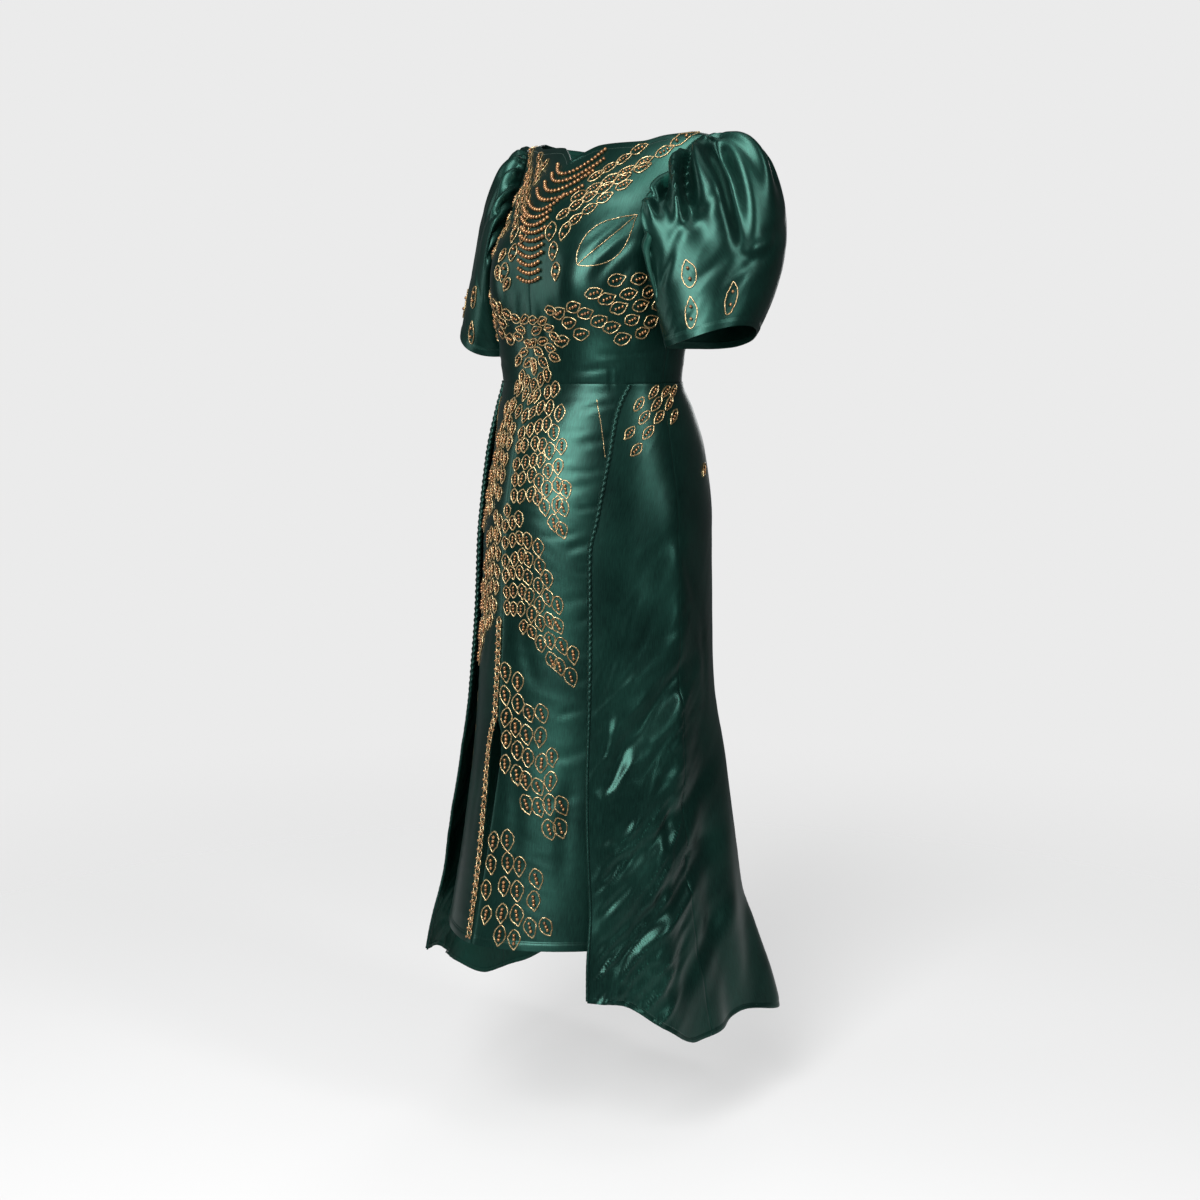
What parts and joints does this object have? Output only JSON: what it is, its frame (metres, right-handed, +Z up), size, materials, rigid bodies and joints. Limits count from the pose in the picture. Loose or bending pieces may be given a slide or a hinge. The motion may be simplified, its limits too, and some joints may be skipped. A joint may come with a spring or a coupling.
{
  "type": "satin gown",
  "caption": "Floor-length satin sheath gown with a wide neckline, puff sleeves, an open overskirt and a centre-front slit, in its worn form with nobody in it.",
  "frame": {"origin": "middle of the shoulder line, where the wearer's shoulders hold the gown up", "axes": "+Z up, the gown faces -Y, +X is the wearer's left"},
  "size_m": [0.5438, 0.4616, 1.2676],
  "materials": {
    "satin": "heavy polyester duchess satin, bottle green, long soft highlights",
    "zip_metal": "plated, light wear",
    "bead_gold": "silver-lined gold glass bugle beads",
    "bead_copper": "copper-gold plated round beads",
    "thread": "twisted polyester sewing thread"
  },
  "bodies": {
    "gown": {"bodice_front_left": "satin", "bodice_front_right": "satin", "bodice_back_left": "satin", "bodice_back_right": "satin", "skirt_front_left": "satin", "skirt_front_right": "satin", "skirt_back_left": "satin", "skirt_back_right": "satin", "overskirt_side_left": "satin", "overskirt_side_right": "satin", "overskirt_back_left": "satin", "overskirt_back_right": "satin", "sleeve_left_front": "satin", "sleeve_right_front": "satin", "sleeve_left_back": "satin", "sleeve_right_back": "satin", "zip_slider": "zip_metal"},
    "zip_pull": {"zip_pull": "zip_metal"}
  },
  "joints": [
    {"name": "zip_pull_swing", "type": "hinge", "parent": "gown", "child": "zip_pull", "pos_m": [0, 0.08744, -0.0371], "axis": [1, 0, 0], "range_deg": [0, 150]}
  ]
}
